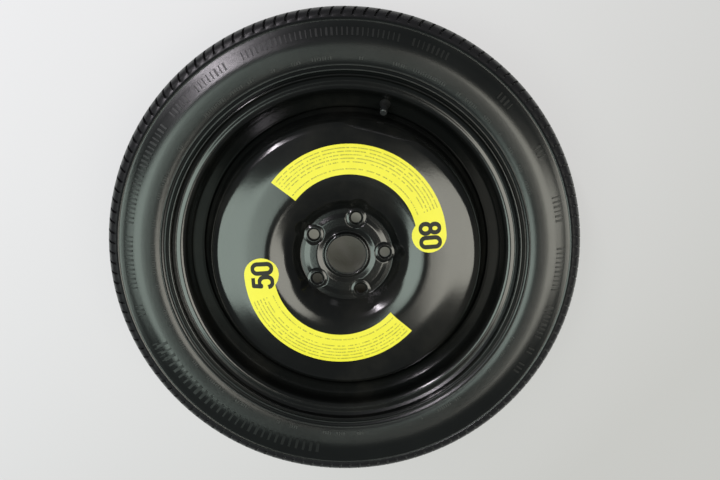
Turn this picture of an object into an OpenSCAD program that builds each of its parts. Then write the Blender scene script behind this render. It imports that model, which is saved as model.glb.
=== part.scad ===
// Space saver spare wheel: a narrow steel rim with a pressed, domed disc
// and a narrow tyre. Millimetres. The wheel's axis is +Z and its outer side
// faces up; z = 0 is the plane where the disc bolts against the hub.

/* [Rim] */
// Diameter of the bead seats
seat_d = 462; // [446:0.5:480]
// Width between the flanges
rim_w = 88.9; // [84:0.1:108]
// Thickness of the rolled rim
rim_t = 2.5; // [2:0.1:3]
// Height of the flange above the bead seat
flange_h = 17.3; // [16:0.1:19]
// Radius of the flange's curl, tyre side
curl_r = 9.5; // [8.5:0.1:10.5]
// How far the curl reaches past the flange's inner face
flange_reach = 13.5; // [12.5:0.1:16]
// Length of one bead seat, from the flange
seat_len = 20; // [18:0.5:22]
// Depth of the well below the bead seat
well_depth = 17; // [15:0.5:19]
// Axial length of each sloping well wall
well_slope_len = 11.5; // [10:0.5:14]

/* [Disc] */
// Distance of the hub face outboard of the rim's middle
wheel_offset = 25.5; // [20:0.5:32]
// Thickness of the pressed disc
disc_t = 4; // [3:0.1:5]
// Diameter of the centre bore
bore_d = 57.1; // [52:0.1:60]
// Height of the collar round the bore, above the hub face
collar_h = 11; // [9:0.5:13]
// Diameter of the bolt circle
pcd = 112; // [108:0.1:116]
// Number of wheel bolts
bolt_count = 5; // [4:1:5]
// Diameter of the bolt holes
bolt_d = 15; // [13:0.1:16]
// Radius of the ball seats
ball_r = 13; // [12:0.1:14]
// Width of the ball seat round a bolt hole
seat_land = 2.6; // [2:0.1:3.5]
// Height of the bolt bosses above the disc's pad
boss_h = 1.6; // [1:0.1:2]
// Height of the raised ring between the bolts
ridge_h = 2; // [1:0.2:4]
// Width of the hub pad outside the raised ring
pad_w = 6; // [4:0.5:9]
// Radius of the wrench pockets' floors round the bolts
pocket_r = 13.5; // [12.5:0.5:16]
// Lean of the pockets' walls, from upright
pocket_lean = 40; // [25:1:45]
// Height of the dome's crest above the hub face
crest_z = 33; // [28:0.5:36]
// Radius of the bend where the dome turns down to the rim
shoulder_r = 16; // [12:0.5:20]
// Width of the valley between the dome and the well
valley_w = 24; // [22:0.5:28]
// Length of the skirt that is pressed into the well
skirt_len = 15; // [12:0.5:18]
// Depth of the flat pressed into the dome beside the valve
valve_flat_depth = 2; // [1:0.1:3]
// Leg of the weld between skirt and rim
weld_leg = 3; // [2:0.5:4]
// Number of weld runs
weld_count = 8; // [4:1:10]

/* [Tyre] */
// Height of the tyre above the bead seat
section_h = 105.5; // [98:0.5:115]
// How far each sidewall stands out past the rim's flange face
side_bulge = 23; // [20:0.5:28]
// Radius of the tread's crown, across the tread
crown_r = 260; // [200:10:400]
// Radius of the tyre's shoulder
tread_edge_r = 18; // [14:1:22]
// Depth of the tread grooves
groove_depth = 5; // [3:0.5:6]
// Width of the tread grooves
groove_w = 4; // [3:0.5:6]
// Distance between the tread grooves
groove_pitch = 22; // [18:1:24]
// Number of notches round each shoulder
notch_count = 90; // [36:1:100]
// Width of a shoulder notch
notch_w = 1.8; // [1.4:0.1:3]
// Thickness of the sidewall
sidewall_t = 6; // [5:0.5:8]
// Thickness of the tyre at its crown
crown_t = 14; // [12:0.5:18]

/* [Valve] */
// Angle of the valve round the wheel
valve_angle = 75.6; // [0:0.1:359]
// Diameter of the valve hole
valve_hole_d = 11.3; // [11:0.1:12]
// Length of the brass stem outside the rim
stem_len = 22.5; // [20:0.5:32]
// Outer diameter of the stem's thread
stem_d = 7.7; // [7.4:0.1:8]
// Outer diameter of the cap
cap_d = 10; // [9.6:0.1:11]
// Travel of the core's pin when it is pressed
pin_travel = 1.5; // [1:0.1:2]

/* [Labels] */
// How much smaller a label's outer radius is than the dome's
label_margin = 52.2; // [48:0.1:60]
// Width of a label's band
label_w = 40.6; // [36:0.1:44]
// Radius of the label's round end
label_end_r = 23.9; // [22:0.1:26]
// Angle from the round end to the cut end
label_span = 137; // [100:1:140]
// Distance of the upper label's centre from the axle
upper_shift = 23.1; // [10:0.1:26]
// Distance of the lower label's centre from the axle
lower_shift = 20.5; // [10:0.1:26]
// Thickness of the label film
label_t = 0.25; // [0.2:0.05:0.5]

/* [Hidden] */
$fn = 96;
arc_step = 9;

// Clearances
fit_gap = 0.05;
seat_gap = 0.15;
thread_gap = 0.1;
slide_gap = 0.08;

// Rim sizes, with s the distance from the rim's middle plane
seat_r = seat_d / 2;
flange_r = seat_r + flange_h;
half_w = rim_w / 2;
well_r = seat_r - well_depth;
well_top_s = half_w - seat_len;
well_low_s = well_top_s - well_slope_len;
seat_taper = tan(5);
well_top_r = seat_r - seat_taper * seat_len;
well_air_r = well_r - rim_t;
middle_z = -wheel_offset;

// Disc sizes
skirt_r = well_air_r - fit_gap;
skirt_top_z = middle_z + well_low_s - 4;
skirt_low_z = skirt_top_z - skirt_len;
dome_r = skirt_r - valley_w;
dome_edge_z = crest_z - 2;
collar_t = 4;
collar_r = bore_d / 2 + collar_t;
ridge_in_r = collar_r + 3;
ridge_out_r = pcd / 2 + 5.5;
ridge_w = ridge_out_r - ridge_in_r;
ridge_round = 0.4 * ridge_w;
ridge_slope_w = 0.27 * ridge_w;
pad_r = ridge_out_r + pad_w;
crease_r = pad_r + 42;
crease_z = crest_z - 4.2;
crest_r = (crease_r + dome_r) / 2;
pocket_rise = crest_z + 12;
seat_r_top = bolt_d / 2 + seat_land;
boss_top_r = seat_r_top + 0.9;
boss_sink = 0.5;
boss_slope = 3;
ball_z = disc_t + boss_h + sqrt(pow(ball_r, 2) - pow(seat_r_top, 2));
web_relief = 0.4;
below = 120;

// Tyre sizes
tyre_r = seat_r + section_h;
half_section = half_w + side_bulge;
tread_side_s = half_section - 2.3;
tread_half = tread_side_s - 18;
rib_r = tyre_r - 24;
wall_h = rib_r - flange_r;
side_top_r = rib_r - 0.125 * wall_h;
side_low_r = flange_r + 0.53 * wall_h;
bulge_s = half_section + 0.4;
bead_rib_r = flange_r + 4;
plate_top_r = side_top_r - 1;
plate_low_r = side_low_r - 1.5;
notch_len = 24;

// Label sizes
label_r = dome_r - label_margin;
upper_turn = 4.9;
lower_turn = 182.4;
upper_bearing = 77.8;
lower_bearing = 245.3;

// Helpers for outlines in the plane of radius and height
function unit(v) = v / norm(v);
function flip(p) = [for (i = [len(p) - 1:-1:0]) [p[i].x, -p[i].y]];
function back(p) = [for (i = [len(p) - 1:-1:0]) p[i]];
function raise(p, z) = [for (q = p) [q.x, q.y + z]];

// The points that round corner b, between a and c, with radius r
function corner(a, b, c, r) = r <= 0 ? [b] :
    let (u = unit(a - b), v = unit(c - b), half = acos(u * v) / 2,
         m = b + unit(u + v) * r / sin(half),
         p = b + u * r / tan(half) - m, q = b + v * r / tan(half) - m,
         a0 = atan2(p.y, p.x), turn = atan2(q.y, q.x) - a0,
         sweep = turn > 180 ? turn - 360 : turn < -180 ? turn + 360 : turn,
         n = max(1, ceil(abs(sweep) / arc_step)))
    [for (i = [0:n]) m + r * [cos(a0 + sweep * i / n), sin(a0 + sweep * i / n)]];

// A path from corners [radius, height, rounding]
function rounded(k) = [for (i = [0:len(k) - 1])
    let (b = [k[i].x, k[i].y])
    each (i == 0 || i == len(k) - 1 ? [b] :
        corner([k[i - 1].x, k[i - 1].y], b, [k[i + 1].x, k[i + 1].y], k[i].z))];

// The left-hand normal of the step from point i to point i + 1
function normal(p, i) = let (d = unit(p[i + 1] - p[i])) [-d.y, d.x];

// A path moved sideways by t, to its left
function moved(p, t) = [for (i = [0:len(p) - 1])
    let (m = normal(p, max(i - 1, 0)), n = normal(p, min(i, len(p) - 2)))
    p[i] + (m + n) * t / (1 + m * n)];

// Rim: outer face of the sheet, from the lip to the middle of the well
rim_half = rounded([
    [flange_r - 1.1, half_w + flange_reach, 0],
    [flange_r, half_w + curl_r + 0.6, rim_t + 0.5],
    [flange_r, half_w, curl_r],
    [seat_r, half_w, 6.5],
    [well_top_r, well_top_s, 14],
    [well_r, well_low_s, 6],
    [well_r, 0, 0]]);
rim_face = raise(concat(rim_half, [for (i = [1:len(rim_half) - 1]) flip(rim_half)[i]]), middle_z);

// Disc: outer face of the sheet, from the bore to the skirt's end
disc_face = rounded([
    [bore_d / 2, disc_t, 0],
    [ridge_in_r, disc_t, 3],
    [ridge_in_r + ridge_slope_w, disc_t + ridge_h, ridge_round],
    [ridge_out_r - ridge_slope_w, disc_t + ridge_h, ridge_round],
    [ridge_out_r, disc_t + web_relief, 2.5],
    [pad_r, disc_t + web_relief, 2.5],
    [pad_r + 16.5, crest_z - 9, 38],
    [crease_r - 2.5, crease_z, 14],
    [crease_r + 2.5, crease_z, 14],
    [crest_r, crest_z, 150],
    [dome_r, dome_edge_z, shoulder_r],
    [dome_r + 16, dome_edge_z - 39, 12],
    [skirt_r, skirt_top_z, 7],
    [skirt_r, skirt_low_z, 0]]);

// Valve seat: the middle of the well's outboard wall
wall_v = unit([well_top_r - well_r, well_top_s - well_low_s]);
wall_mid = [well_r, well_low_s + middle_z] + wall_v * 10;
valve_v = [-wall_v.y, wall_v.x];
valve_foot = wall_mid + valve_v * rim_t;
valve_tilt = atan2(-valve_v.x, valve_v.y);
valve_pad_r = 8.5;

// Dome flat beside the valve, square to the middle of the shoulder's bend
flat_tilt = 40;
shoulder_mid = [dome_r - 0.36 * shoulder_r, dome_edge_z - 0.16 * shoulder_r];

// Valve pieces, with heights along the valve from the rim's air side
stem_r = stem_d / 2;
stem_low = -rim_t - 9;
rubber_top = 13;
cap_low = rubber_top + 0.3;
cap_top = stem_len + 2;
plug_top = stem_len - 1.2;
plug_low = plug_top - 5;
plug_r = 2.55;
gasket_low = plug_low - 2.4;
barrel_low = gasket_low - 6;
barrel_r = 1.75;
barrel_bore_r = 1.15;
pin_r = 0.6;
pin_top = stem_len - 0.6;
cup_h = 1;
cup_seal_h = 0.8;
pin_foot_h = 0.6;
pin_low = barrel_low - cup_seal_h - cup_h - pin_foot_h;
bore_low_r = 2.05;
bore_top_r = plug_r + 0.05;
spring_wire = 0.26;
spring_turns = 7;
spring_r = barrel_bore_r - 0.2;
spring_low = barrel_low + 1;
spring_top = gasket_low + 1.2;

// A solid of revolution about the wheel's axis
module turned(points) { rotate_extrude() polygon(points); }

// Children laid along the valve's own axis
module at_valve() {
    rotate([0, 0, valve_angle])
        translate([valve_foot.x, 0, valve_foot.y])
            rotate([0, -valve_tilt, 0])
                children();
}

module at_bolts() {
    for (i = [0:bolt_count - 1])
        rotate([0, 0, valve_angle + i * 360 / bolt_count])
            translate([pcd / 2, 0, 0])
                children();
}

// Tyre
tread_path = concat(
    [for (i = [0:4]) let (s = tread_half * i / 5) [tyre_r - s * s / (2 * crown_r), s]],
    rounded([
        [tyre_r - pow(tread_half, 2) / (2 * crown_r) + 0.5, tread_half - 3, 0],
        [tyre_r - tread_side_s * tread_side_s / (2 * crown_r) + 0.6, tread_side_s, tread_edge_r],
        [side_top_r, tread_side_s + 1, 30],
        [side_low_r, bulge_s, 45],
        [flange_r + 0.2 * wall_h, bulge_s - 5.5, 30],
        [flange_r + 2, half_w + curl_r + 0.5, 5],
        [seat_r, half_w - 5, 0]]));
bore_path = rounded([
    [seat_r - 12, well_top_s + 8, 0],
    [seat_r + 5, well_top_s + 9, 5],
    [flange_r, half_w - 3, 12],
    [flange_r + 0.25 * wall_h, bulge_s - 5.5 - sidewall_t * 1.3, 25],
    [side_low_r, bulge_s - sidewall_t, 40],
    [side_top_r, tread_side_s + 1 - sidewall_t, 30],
    [tyre_r - crown_t - 3, tread_side_s - 9, 12],
    [tyre_r - crown_t, 0, 0]]);

module tyre_half() {
    polygon(concat(tread_path, bore_path));
    translate([rib_r, tread_side_s - 0.3]) circle(r = 1.3, $fn = 24);
    polygon([[plate_top_r, tread_side_s - 1], [plate_top_r - 0.8, bulge_s + 0.35],
             [plate_low_r + 0.8, bulge_s + 0.65], [plate_low_r, bulge_s - 3]]);
    for (i = [0:2])
        translate([bead_rib_r + i * 2.6, half_w + 11.3 + i * 1.75]) circle(r = 0.7, $fn = 16);
}

module tyre_section() {
    difference() {
        union() {
            tyre_half();
            mirror([0, 1]) tyre_half();
        }
        for (k = [-1:1])
            translate([tyre_r - groove_depth - (k == 0 ? 0 : 0.9), k * groove_pitch - groove_w / 2])
                square([groove_depth * 2, groove_w]);
        translate([0, -middle_z])
            polygon(concat(moved(rim_face, seat_gap), [[100, rim_face[0].y - 200], [100, rim_face[0].y]]));
    }
}

module shoulder_notches() {
    for (side = [-1, 1], i = [0:notch_count - 1])
        rotate([0, 0, (i + (side > 0 ? 0 : 0.5)) * 360 / notch_count])
            translate([tyre_r - 13, 0, middle_z + side * (tread_side_s - 2)])
                rotate([0, side * 52, side * 12])
                    translate([0, -notch_w / 2, -3])
                        cube([notch_len, notch_w, 6]);
}

module tyre() {
    color("#3b4143") difference() {
        translate([0, 0, middle_z]) rotate_extrude() tyre_section();
        shoulder_notches();
    }
}

// Rim
module rim() {
    color("#15181a") difference() {
        union() {
            turned(concat(rim_face, back(moved(rim_face, -rim_t))));
            at_valve() translate([0, 0, -rim_t - 0.8]) cylinder(r = valve_pad_r + 2, h = rim_t + 0.6);
        }
        at_valve() cylinder(r = valve_pad_r, h = 6);
        at_valve() translate([0, 0, -10]) cylinder(d = valve_hole_d, h = 20);
    }
}

// Radius of a pocket's floor in the face that lies t under the outer one
function pocket_floor_r(t) = pocket_r + t * (1 / cos(pocket_lean) - tan(pocket_lean));

// Everything below the disc's pressed face, inset from it by t
module pressing(t) {
    face = moved(disc_face, -t);
    difference() {
        turned(concat(face, [[face[len(face) - 1].x, -below], [0, -below], [0, disc_t - t]]));
        at_bolts() translate([0, 0, disc_t - t])
            cylinder(r1 = pocket_floor_r(t), r2 = pocket_floor_r(t) + pocket_rise * tan(pocket_lean),
                     h = pocket_rise);
        rotate([0, 0, valve_angle])
            translate([shoulder_mid.x, 0, shoulder_mid.y])
                rotate([0, flat_tilt, 0])
                    translate([-40, -40, -valve_flat_depth - t])
                        cube([80, 80, 30]);
    }
}

module ball_seats() {
    at_bolts() {
        translate([0, 0, ball_z]) sphere(r = ball_r);
        translate([0, 0, -1]) cylinder(d = bolt_d, h = 20);
    }
}

module wheel_disc() {
    color("#111416") difference() {
        union() {
            difference() {
                pressing(0);
                pressing(disc_t);
                translate([0, 0, -below - 1]) cylinder(r = skirt_r + 5, h = below + 1 + skirt_low_z);
            }
            at_bolts() translate([0, 0, disc_t - boss_sink])
                cylinder(r1 = boss_top_r + boss_slope * (boss_h + boss_sink), r2 = boss_top_r,
                         h = boss_h + boss_sink);
            rotate_extrude() polygon(rounded([
                [bore_d / 2, 0, 0], [bore_d / 2, collar_h, 1.5], [collar_r, collar_h, 2],
                [collar_r, disc_t, 2.5], [collar_r + 4, disc_t, 0], [collar_r + 4, 0, 0]]));
        }
        translate([0, 0, -1]) cylinder(d = bore_d, h = 40);
        ball_seats();
    }
}

module disc_welds() {
    color("#1b1e20") for (i = [0:weld_count - 1])
        rotate([0, 0, (i + 0.2) * 360 / weld_count])
            rotate_extrude(angle = 180 / weld_count)
                polygon([[well_air_r, skirt_low_z], [well_air_r, skirt_low_z - weld_leg],
                         [skirt_r - disc_t + 0.5, skirt_low_z]]);
}

// Labels: thin film that follows the dome
module label_outline() {
    difference() {
        circle(r = label_r, $fn = 180);
        circle(r = label_r - label_w, $fn = 180);
        translate([-2 * label_r, -2 * label_r]) square([4 * label_r, 2 * label_r]);
        rotate(label_span) translate([-2 * label_r, 0]) square([4 * label_r, 2 * label_r]);
    }
    translate([label_r - label_end_r, 0]) circle(r = label_end_r, $fn = 72);
}

module label_film(shift, bearing, turn) {
    film = moved(disc_face, label_t);
    intersection() {
        difference() {
            turned(concat(film, back(disc_face)));
            translate([0, 0, -below]) cylinder(r = tyre_r, h = below + crest_z / 2);
        }
        rotate([0, 0, bearing]) translate([shift, 0, 0]) rotate([0, 0, turn - bearing])
            linear_extrude(height = 2 * crest_z) label_outline();
    }
}

module upper_label() { color("#f4e832") label_film(upper_shift, upper_bearing, upper_turn); }
module lower_label() { color("#f4e832") label_film(lower_shift, lower_bearing, lower_turn); }

// Snap-in valve
module valve_rubber() {
    color("#1c1c1c") at_valve() rotate_extrude() polygon([
        [stem_r, stem_low], [7.2, stem_low], [8.6, -rim_t - 5], [8.6, -rim_t - 2],
        [valve_hole_d / 2 - 0.03, -rim_t - 0.85], [valve_hole_d / 2 - 0.03, 0.03], [7.6, 0.05],
        [7.6, 1.6], [6.2, 4.5], [5.4, 8], [4.9, rubber_top], [stem_r, rubber_top]]);
}

module valve_stem() {
    color("#c9a54c") at_valve() rotate_extrude() polygon([
        [bore_low_r, stem_low], [stem_r, stem_low], [stem_r, stem_len - 0.6],
        [stem_r - 0.6, stem_len], [bore_top_r, stem_len], [bore_top_r, plug_low - 0.2],
        [bore_low_r, gasket_low - 0.2]]);
}

module valve_cap() {
    color("#25282a") at_valve() difference() {
        rotate_extrude() polygon([
            [0, cap_low], [cap_d / 2, cap_low], [cap_d / 2, cap_top - 1.6],
            [cap_d / 2 - 0.5, cap_top - 0.5], [cap_d / 2 - 1.6, cap_top], [0, cap_top]]);
        translate([0, 0, cap_low - 1]) cylinder(r = stem_r + thread_gap, h = stem_len + 0.4 - cap_low + 1);
        for (i = [0:11]) rotate([0, 0, i * 30]) translate([cap_d / 2, 0, cap_low - 1])
            cylinder(r = 0.45, h = cap_top - cap_low - 2.5, $fn = 16);
    }
}

module core_plug() {
    color("#d2b25a") at_valve() difference() {
        translate([0, 0, plug_low]) cylinder(r = plug_r, h = plug_top - plug_low);
        translate([0, 0, plug_low - 1]) cylinder(r = pin_r + slide_gap, h = 20);
        for (s = [-1, 1]) translate([s * 2.6 - 1.1, -4, plug_top - 2]) cube([2.2, 8, 4]);
    }
}

module core_barrel() {
    color("#d8bd6e") at_valve() difference() {
        translate([0, 0, barrel_low]) cylinder(r = barrel_r, h = plug_low - barrel_low);
        translate([0, 0, spring_low]) cylinder(r = barrel_bore_r, h = 20);
        translate([0, 0, barrel_low - 1]) cylinder(r = pin_r + slide_gap, h = 20);
    }
}

module core_gasket() {
    color("#b03a2e") at_valve() difference() {
        translate([0, 0, gasket_low]) cylinder(r1 = bore_low_r, r2 = plug_r, h = plug_low - gasket_low);
        translate([0, 0, gasket_low - 1]) cylinder(r = barrel_r, h = 20);
    }
}

module core_pin() {
    color("#c8c4b8") at_valve() {
        translate([0, 0, pin_low]) cylinder(r = pin_r, h = pin_top - pin_low);
        translate([0, 0, spring_top]) cylinder(r = spring_r, h = 0.4);
        translate([0, 0, pin_low]) cylinder(r = 1, h = pin_foot_h);
    }
}

module core_cup() {
    color("#d8bd6e") at_valve() difference() {
        translate([0, 0, barrel_low - cup_seal_h - cup_h]) cylinder(r = barrel_r, h = cup_h);
        translate([0, 0, pin_low]) cylinder(r = pin_r, h = 20);
    }
}

module core_cup_seal() {
    color("#202020") at_valve() difference() {
        translate([0, 0, barrel_low - cup_seal_h]) cylinder(r = barrel_r - 0.1, h = cup_seal_h);
        translate([0, 0, pin_low]) cylinder(r = pin_r, h = 20);
    }
}

// Coil spring: rings of a thin wire along a helix
function spring_ring(a, h) = [for (j = [0:5])
    let (r = spring_r - spring_wire / 2 + spring_wire / 2 * cos(60 * j))
    [r * cos(a), r * sin(a), h + spring_wire / 2 * sin(60 * j)]];

module core_spring() {
    steps = spring_turns * 12;
    rings = [for (i = [0:steps]) spring_ring(i * 30,
        spring_low + spring_wire / 2 + (spring_top - spring_low - spring_wire) * i / steps)];
    color("#9aa0a4") at_valve() polyhedron(
        points = [for (r = rings) each r],
        faces = concat(
            [[0, 1, 2, 3, 4, 5]],
            [for (i = [0:steps - 1], j = [0:5])
                [i * 6 + j, (i + 1) * 6 + j, (i + 1) * 6 + (j + 1) % 6, i * 6 + (j + 1) % 6]],
            [[for (j = [5:-1:0]) steps * 6 + j]]));
}

tyre();
rim();
wheel_disc();
disc_welds();
upper_label();
lower_label();
valve_rubber();
valve_stem();
valve_cap();
core_plug();
core_barrel();
core_gasket();
core_pin();
core_cup();
core_cup_seal();
core_spring();
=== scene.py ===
# %% [markdown]
# # A space saver spare wheel
# A temporary spare is a narrow tyre on a rolled steel rim. A domed steel disc is pressed into the
# rim and welded from behind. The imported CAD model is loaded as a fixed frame, and the pieces whose
# gloss shows every facet are made again here from the same sizes, with finer curves.
#
# Lengths are in millimetres until a mesh is made, as on the drawing of a wheel. A name that ends in
# R is a radius, in S a distance from the rim's middle plane, and in T a thickness.

# %% Load the frame
import math
import bpy
import bmesh
import numpy as np
from mathutils import Matrix, Vector
from mathutils.geometry import delaunay_2d_cdt


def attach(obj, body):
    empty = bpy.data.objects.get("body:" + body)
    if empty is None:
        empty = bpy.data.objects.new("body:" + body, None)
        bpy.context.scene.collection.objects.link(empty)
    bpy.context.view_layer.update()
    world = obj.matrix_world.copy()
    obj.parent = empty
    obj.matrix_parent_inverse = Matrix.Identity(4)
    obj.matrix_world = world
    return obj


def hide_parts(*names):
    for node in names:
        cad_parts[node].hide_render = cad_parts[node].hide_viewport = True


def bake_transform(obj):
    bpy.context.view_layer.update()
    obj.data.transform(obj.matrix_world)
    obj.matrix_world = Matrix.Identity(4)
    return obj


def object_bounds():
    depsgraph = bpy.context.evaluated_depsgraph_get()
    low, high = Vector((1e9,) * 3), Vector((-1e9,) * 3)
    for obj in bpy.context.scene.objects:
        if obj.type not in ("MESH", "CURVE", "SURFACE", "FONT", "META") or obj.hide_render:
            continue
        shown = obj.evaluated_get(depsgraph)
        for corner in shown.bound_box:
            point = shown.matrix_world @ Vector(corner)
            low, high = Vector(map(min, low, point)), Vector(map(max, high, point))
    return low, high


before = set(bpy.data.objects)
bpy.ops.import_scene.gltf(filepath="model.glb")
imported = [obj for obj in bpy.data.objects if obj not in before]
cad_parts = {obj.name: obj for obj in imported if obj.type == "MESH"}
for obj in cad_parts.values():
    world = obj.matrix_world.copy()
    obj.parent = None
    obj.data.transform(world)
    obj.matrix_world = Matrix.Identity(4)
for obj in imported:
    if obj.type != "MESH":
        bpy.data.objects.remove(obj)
cad_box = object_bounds()
scene = bpy.context.scene
MM = 0.001


def stand(name, data):
    """A new object for this data, in the scene."""
    thing = bpy.data.objects.new(name, data)
    scene.collection.objects.link(thing)
    return thing


print("nodes:", len(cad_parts))

# %% [markdown]
# The wheel lies on its rear side, so the photograph's front view is a view from above. The camera
# stands close: its lens is short, and the far rim of the tyre looks smaller than the near one.

# %% Camera
right = Vector((0.99989, 0.0, 0.01466))
up = Vector((0.00263, 0.98376, -0.17946))
back = right.cross(up)
camera_data = bpy.data.cameras.new("camera")
camera_data.lens = 22.7
camera_data.sensor_width = 36.0
camera = stand("camera", camera_data)
turn = Matrix((right, up, back)).transposed().to_4x4()
camera.matrix_world = Matrix.Translation(Vector((0.010, 0.140, 0.654))) @ turn
scene.camera = camera
print("camera at", tuple(round(c, 3) for c in camera.location))

# %% [markdown]
# Shader maths reads best as plain formulas. This class wraps one socket of a node tree, and its
# operators add the Math node that the formula needs.

# %% Formulas for shaders
class Value:
    def __init__(self, tree, socket):
        self.tree = tree
        self.socket = socket

    def math(self, operation, other=0.0, clamp=False):
        settings = {"operation": operation, "use_clamp": clamp}
        return add(self.tree, "ShaderNodeMath", settings, {0: self, 1: other})

    def __add__(self, other):
        return self.math("ADD", other)

    __radd__ = __add__

    def __sub__(self, other):
        return self.math("SUBTRACT", other)

    def __rsub__(self, other):
        return add(self.tree, "ShaderNodeMath", {"operation": "SUBTRACT"}, {0: other, 1: self})

    def __mul__(self, other):
        return self.math("MULTIPLY", other)

    def __truediv__(self, other):
        return self.math("DIVIDE", other)

    def clamped(self):
        return self.math("ADD", 0.0, True)

    def __gt__(self, other):
        return self.math("GREATER_THAN", other)

    def __lt__(self, other):
        return self.math("LESS_THAN", other)


def add(tree, kind, settings=None, inputs=None, output=0):
    """Adds one node: its settings first, then its sockets' values or links."""
    node = tree.nodes.new(kind)
    for name, setting in (settings or {}).items():
        setattr(node, name, setting)
    for key, given in (inputs or {}).items():
        if isinstance(given, Value):
            tree.links.new(given.socket, node.inputs[key])
        else:
            node.inputs[key].default_value = given
    return Value(tree, node.outputs[output])


def with_alpha(given):
    """A colour with its alpha, and any other setting as it is."""
    return (*given, 1) if isinstance(given, tuple) else given


def colour_mix(tree, factor, a, b):
    """Mixes two colours, each a tuple or a Value."""
    sockets = {0: factor, 6: with_alpha(a), 7: with_alpha(b)}
    return add(tree, "ShaderNodeMix", {"data_type": "RGBA"}, sockets, output=2)


def ramp(tree, value, start, end, top=1.0, smooth=True):
    """Goes from 0 to top while the value goes from start to end."""
    kind = {"interpolation_type": "SMOOTHSTEP" if smooth else "LINEAR"}
    return add(tree, "ShaderNodeMapRange", kind, {0: value, 1: start, 2: end, 3: 0.0, 4: top})


def plan_of(tree, vector):
    """The vector's x and y, and its distance from the z axis."""
    parts = tree.nodes.new("ShaderNodeSeparateXYZ")
    tree.links.new(vector.socket, parts.inputs[0])
    x, y = Value(tree, parts.outputs[0]), Value(tree, parts.outputs[1])
    return x, y, (x * x + y * y).math("SQRT")


def finish_of(name, **sockets):
    """A material with one Principled shader. Numbers and colours go straight on its sockets."""
    material = bpy.data.materials.new(name)
    material.use_nodes = True
    tree = material.node_tree
    shader = next(n for n in tree.nodes if n.type == "BSDF_PRINCIPLED")
    for key, given in sockets.items():
        shader.inputs[key.replace("_", " ")].default_value = with_alpha(given)
    return material, tree, shader


def feed(tree, shader, key, given):
    """Links a Value to one of the shader's sockets."""
    tree.links.new(given.socket, shader.inputs[key])


def place_of(tree):
    """Object coordinates, in metres."""
    return add(tree, "ShaderNodeTexCoord", output=3)


def noise(tree, place, scale, detail=2.0, roughness=0.5):
    sockets = {"Vector": place, "Scale": scale, "Detail": detail, "Roughness": roughness}
    return add(tree, "ShaderNodeTexNoise", None, sockets)


def bump(tree, height, strength, distance):
    sockets = {"Strength": strength, "Distance": distance, "Height": height}
    return add(tree, "ShaderNodeBump", None, sockets)


print("shader helpers ready")

# %% [markdown]
# Steel wheels are dipped and baked in black enamel. It is almost black and glossy, with a faint
# orange peel, and handling leaves a thin film of dust and an uneven gloss. The gloss is what draws
# the wheel's form, so the paint gets a low roughness and only a very soft bump.

# %% Black enamel
def black_enamel():
    material, tree, shader = finish_of(
        "black_enamel", Base_Color=(0.0052, 0.0058, 0.0056), Roughness=0.2, IOR=1.52)
    place = place_of(tree)
    haze = noise(tree, place, 14.0, 3.0, 0.6)
    fine = noise(tree, place, 120.0, 2.0)
    feed(tree, shader, "Roughness", 0.09 + haze * 0.08 + fine * 0.02)
    dust = ramp(tree, noise(tree, place, 9.0, 5.0, 0.68), 0.42, 0.74)
    feed(tree, shader, "Base Color", colour_mix(
        tree, dust, (0.0046, 0.0051, 0.0049), (0.0125, 0.0122, 0.0106)))
    peel = noise(tree, place, 260.0, 1.5)
    feed(tree, shader, "Normal", bump(tree, peel, 0.06, 0.0004))
    return material


enamel = black_enamel()
print("made", enamel.name)

# %% [markdown]
# Tyre rubber is a dark grey with a low sheen. Moulding leaves a fine grain, and dust makes it
# paler in patches. The tread beyond the shoulder rib is duller than the sidewall.

# %% Tyre rubber
TREAD_FROM, TREAD_FULL = 0.3137, 0.3147  # metres from the axle, just beyond the shoulder rib
TREAD_COLOUR = (0.0085, 0.0080, 0.0092)


def tyre_rubber(name, dark, pale, rough):
    material, tree, shader = finish_of(name, Base_Color=pale, Roughness=rough, IOR=1.5)
    place = place_of(tree)
    dust = noise(tree, place, 9.0, 4.0, 0.6)
    grain = noise(tree, place, 900.0, 2.0)
    skin = colour_mix(tree, dust, dark, pale)
    radius = plan_of(tree, place)[2]
    tread = ramp(tree, radius, TREAD_FROM, TREAD_FULL, smooth=False)
    feed(tree, shader, "Base Color", colour_mix(tree, tread, skin, TREAD_COLOUR))
    feed(tree, shader, "Roughness", (rough - 0.08) + dust * 0.12 + grain * 0.05 + tread * 0.11)
    feed(tree, shader, "Normal", bump(tree, grain, 0.10, 0.0004))
    return material


rubber = tyre_rubber(
    "moulded_rubber", (0.0030, 0.0036, 0.0036), (0.0064, 0.0075, 0.0073), 0.235)
raised_rubber = tyre_rubber(
    "raised_rubber", (0.0034, 0.0040, 0.0038), (0.0056, 0.0066, 0.0063), 0.40)
print("made", rubber.name, "and", raised_rubber.name)

# %% [markdown]
# Each label is a printed film. Its small print becomes rows of short bars that follow the band.
# The rows are rings around the label's own centre, and a noise that changes along the ring breaks
# them into words. Five rows are small, one is left empty, and the seventh is bold.

# %% Printed film
LABEL_R, LABEL_W, LABEL_END_R = 0.1352, 0.0407, 0.0239  # in metres, as the shader reads them
LABEL_SPAN = 137.0
LABEL_PLACES = {
    "upper_label": ((0.0049, 0.0226), 4.9), "lower_label": ((-0.00855, -0.0186), 182.4)}
FIRST_ROW, ROW_GAP, SMALL_ROWS, BOLD_ROW = 2.75, 4.7, 5, 6
PRINT_R = 118.0  # the angle times this is the way along a row, in millimetres
PRINT_FROM, PRINT_TO = 0.30, math.radians(LABEL_SPAN) - 0.035  # clear of both ends


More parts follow.
